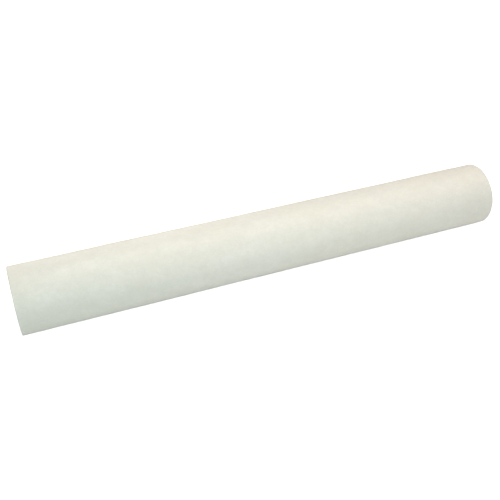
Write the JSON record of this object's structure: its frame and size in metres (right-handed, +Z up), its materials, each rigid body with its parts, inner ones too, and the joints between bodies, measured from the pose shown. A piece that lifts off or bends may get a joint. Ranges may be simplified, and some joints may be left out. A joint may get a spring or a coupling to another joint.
{
  "type": "foam roller",
  "caption": "Full-length round foam roller: a laminated log of white closed-cell foam with a smooth outer skin and square-cut ends.",
  "frame": {"origin": "on the floor line directly below the middle of the roller", "axes": "+X along the roller's own axis, +Y towards the back, +Z up from the floor it lies on"},
  "size_m": [0.914, 0.1199, 0.1199],
  "materials": {
    "rod_foam": "matte, firm extruded closed-cell polyethylene foam with fine open-cut cells on the ends",
    "ply_foam": "matte closed-cell polyethylene foam sheet with open-cut cells on the ends",
    "skin_foam": "satin heat-smoothed foam skin, faintly mottled by the cells under it"
  },
  "bodies": {
    "root": {"core_rod": "rod_foam", "foam_ply_1": "ply_foam", "foam_ply_2": "ply_foam", "foam_ply_3": "ply_foam", "foam_ply_4": "ply_foam", "foam_ply_5": "ply_foam", "foam_ply_6": "ply_foam", "outer_skin": "skin_foam"}
  },
  "joints": []
}
